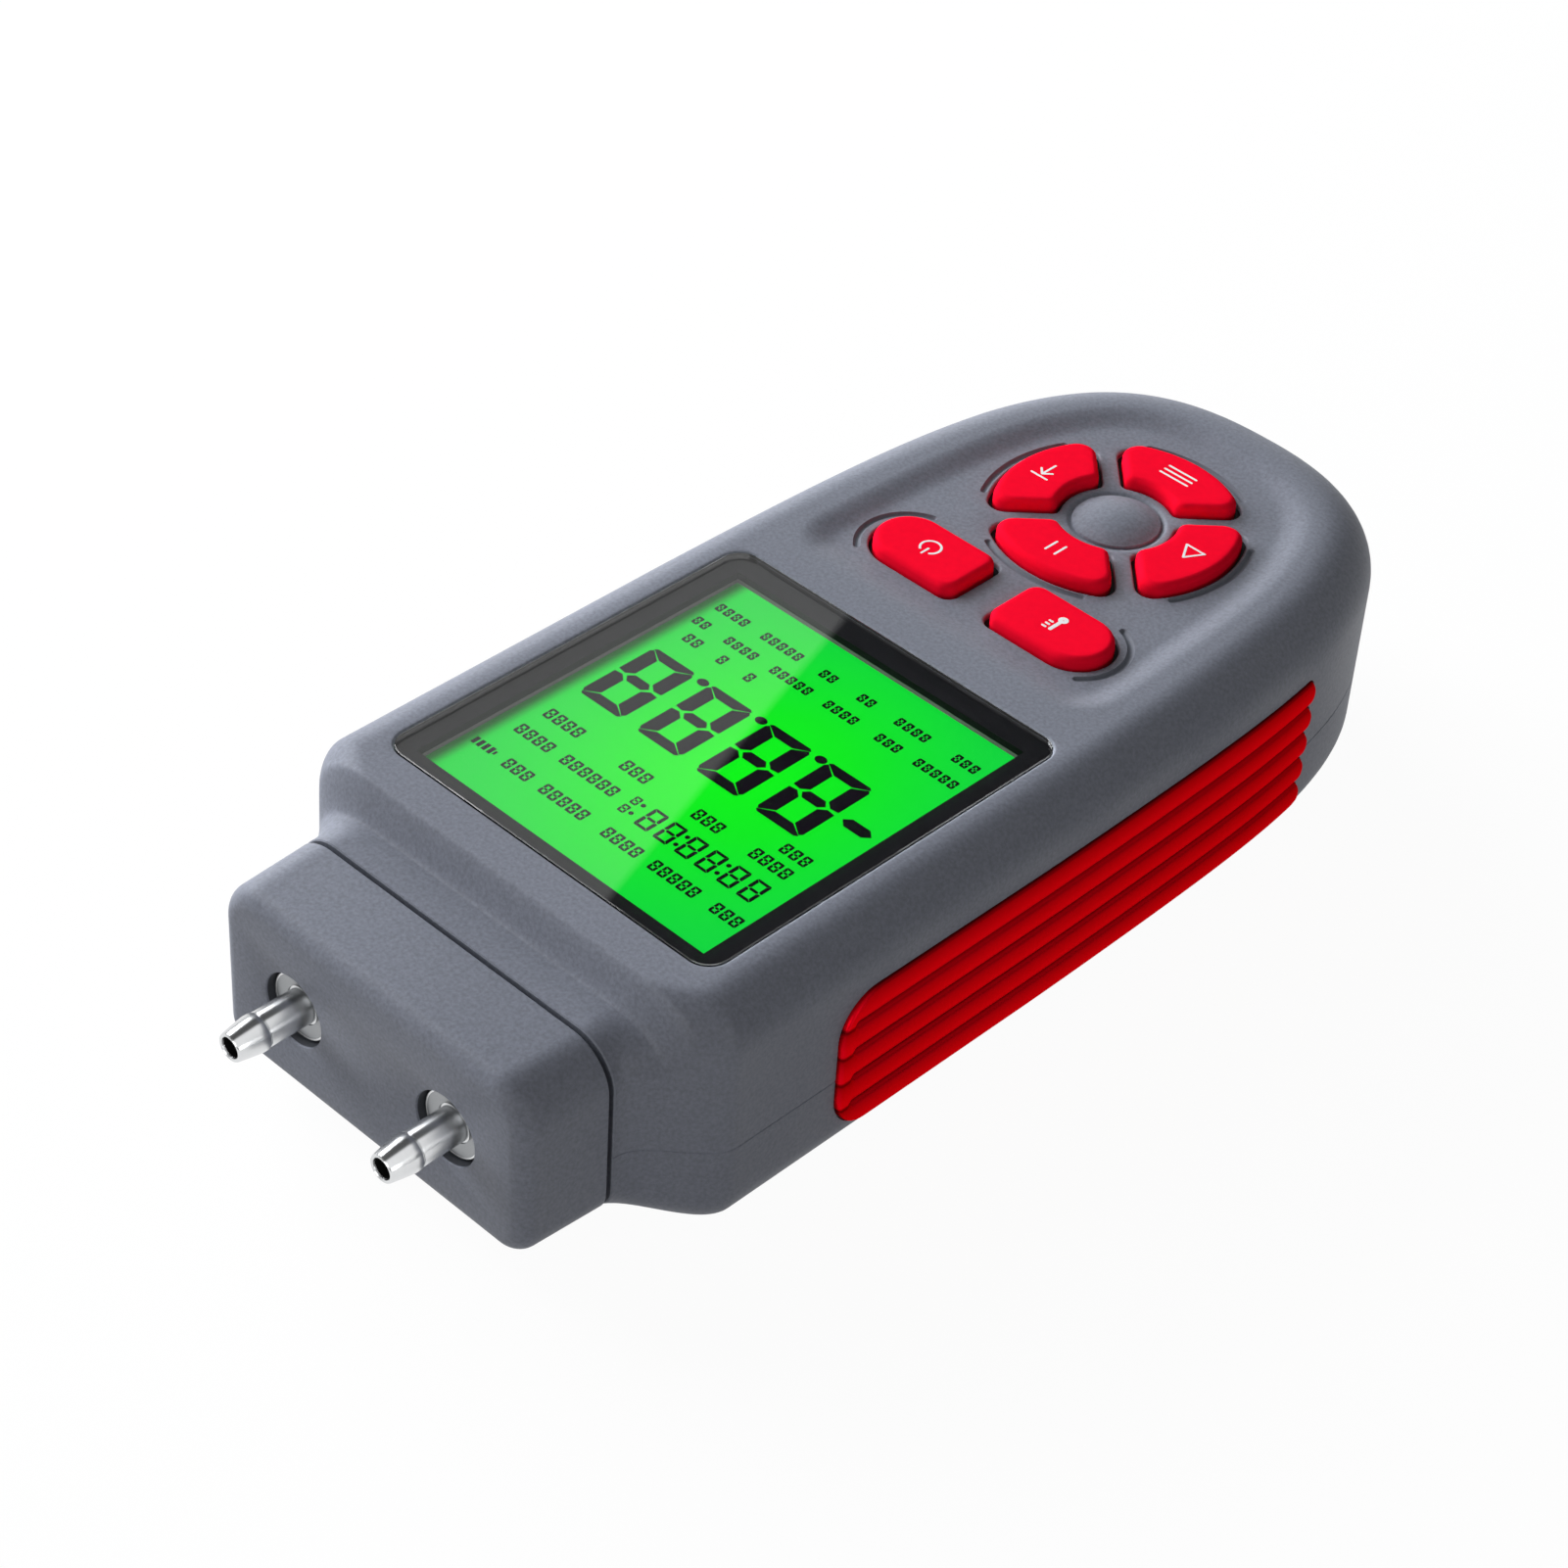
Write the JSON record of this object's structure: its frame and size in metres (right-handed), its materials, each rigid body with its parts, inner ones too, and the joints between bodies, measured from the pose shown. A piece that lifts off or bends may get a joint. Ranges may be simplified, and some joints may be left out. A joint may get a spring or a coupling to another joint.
{
  "type": "digital manometer",
  "caption": "Hand-held digital manometer with two hose barbs on an end cap, a large backlit display, red keys in a rounded keypad, ribbed side grips and a sliding battery door.",
  "frame": {"origin": "below the middle of the bounding box, on the face that the instrument rests on", "axes": "+Z out of the display, +Y along the body towards the hose barbs, +X to the right when the barbs point up and the display faces the reader"},
  "size_m": [0.0706, 0.1694, 0.0336],
  "materials": {
    "case_grey": "fine matte grain",
    "base_grey": "fine matte grain",
    "lens": "clear, polished",
    "mask_black": "printed black film",
    "holder_grey": "moulded",
    "lcd_green": "lit from behind, with black segments",
    "light_guide": "clear moulded",
    "zebra_rubber": "satin",
    "board_green": "solder mask",
    "chip_black": "moulded epoxy",
    "mat_rubber": "satin silicone",
    "key_red": "satin moulded",
    "grip_red": "glossy soft plastic",
    "port_steel": "polished nickel",
    "seal_rubber": "satin",
    "nut_steel": "turned",
    "tube_silicone": "translucent silicone",
    "sensor_black": "moulded",
    "buzzer_black": "moulded",
    "battery_cell": "printed sleeve",
    "snap_black": "soft vinyl",
    "lead_wire": "insulated wire",
    "screw_steel": "zinc plated"
  },
  "bodies": {
    "case": {"front_cover": "case_grey", "back_cover": "base_grey", "port_cap": "case_grey", "display_lens": "lens", "lens_mask": "mask_black", "lcd_holder": "holder_grey", "lcd_panel": "lcd_green", "backlight": "light_guide", "zebra_strip": "zebra_rubber", "main_board": "board_green", "board_chips": "chip_black", "key_mat": "mat_rubber", "left_grip": "grip_red", "right_grip": "grip_red", "left_port": "port_steel", "right_port": "port_steel", "port_seals": "seal_rubber", "port_nuts": "nut_steel", "left_tube": "tube_silicone", "right_tube": "tube_silicone", "pressure_sensor": "sensor_black", "buzzer": "buzzer_black", "battery": "battery_cell", "battery_snap": "snap_black", "battery_leads": "lead_wire", "case_screws": "screw_steel", "board_screws": "screw_steel", "cap_screws": "screw_steel"},
    "power_key": {"power_key": "key_red"},
    "temperature_key": {"temperature_key": "key_red"},
    "hold_key": {"hold_key": "key_red"},
    "max_key": {"max_key": "key_red"},
    "units_key": {"units_key": "key_red"},
    "dif_key": {"dif_key": "key_red"},
    "door": {"battery_door": "base_grey"}
  },
  "joints": [
    {"name": "power_key_press", "type": "slide", "parent": "case", "child": "power_key", "axis": [0, 0, -1], "range_m": [0, 0.0008], "stiffness_N_per_m": 600},
    {"name": "temperature_key_press", "type": "slide", "parent": "case", "child": "temperature_key", "axis": [0, 0, -1], "range_m": [0, 0.0008], "stiffness_N_per_m": 600},
    {"name": "hold_key_press", "type": "slide", "parent": "case", "child": "hold_key", "axis": [0, 0, -1], "range_m": [0, 0.0008], "stiffness_N_per_m": 600},
    {"name": "max_key_press", "type": "slide", "parent": "case", "child": "max_key", "axis": [0, 0, -1], "range_m": [0, 0.0008], "stiffness_N_per_m": 600},
    {"name": "units_key_press", "type": "slide", "parent": "case", "child": "units_key", "axis": [0, 0, -1], "range_m": [0, 0.0008], "stiffness_N_per_m": 600},
    {"name": "dif_key_press", "type": "slide", "parent": "case", "child": "dif_key", "axis": [0, 0, -1], "range_m": [0, 0.0008], "stiffness_N_per_m": 600},
    {"name": "battery_door_slide", "type": "slide", "parent": "case", "child": "door", "axis": [0, -1, 0], "range_m": [0, 0.06]}
  ]
}
